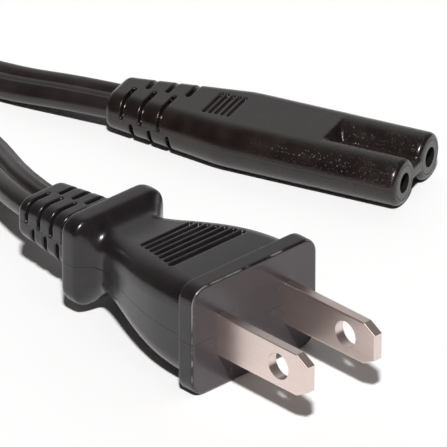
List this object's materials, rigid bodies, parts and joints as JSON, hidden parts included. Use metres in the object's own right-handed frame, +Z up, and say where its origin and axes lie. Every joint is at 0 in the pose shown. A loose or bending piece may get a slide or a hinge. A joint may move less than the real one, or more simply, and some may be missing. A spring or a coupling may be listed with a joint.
{
  "type": "figure eight power connector",
  "caption": "Figure-eight mains connector for small appliances, moulded on a flat cord that ends in a flat-blade plug; the spare cord is coiled and tied.",
  "frame": {"origin": "on the surface it lies on, under the middle of the connector", "axes": "+X out of the figure-eight mating face, +Z up"},
  "size_m": [0.2215, 0.0905, 0.0168],
  "materials": {
    "black_moulding": "spark-textured soft PVC, satin",
    "plug_moulding": "smooth soft PVC, satin",
    "carrier_plastic": "hard moulded plastic, satin",
    "contact_brass": "stamped brass, bright",
    "copper": "bare copper strands",
    "cord_pvc": "extruded PVC, satin",
    "tie_plastic": "woven nylon tape, dull",
    "plated_blade": "nickel plate, satin"
  },
  "bodies": {
    "root": {"blade_carrier": "carrier_plastic", "connector_body": "black_moulding", "contact_carrier": "carrier_plastic", "cord_coil": "cord_pvc", "cord_connector_end": "cord_pvc", "cord_plug_end": "cord_pvc", "cord_tie": "tie_plastic", "left_blade": "plated_blade", "left_connector_core": "cord_pvc", "left_connector_strands": "copper", "left_contact": "contact_brass", "left_plug_core": "cord_pvc", "left_plug_strands": "copper", "plug_body": "plug_moulding", "right_blade": "plated_blade", "right_connector_core": "cord_pvc", "right_connector_strands": "copper", "right_contact": "contact_brass", "right_plug_core": "cord_pvc", "right_plug_strands": "copper"}
  },
  "joints": []
}
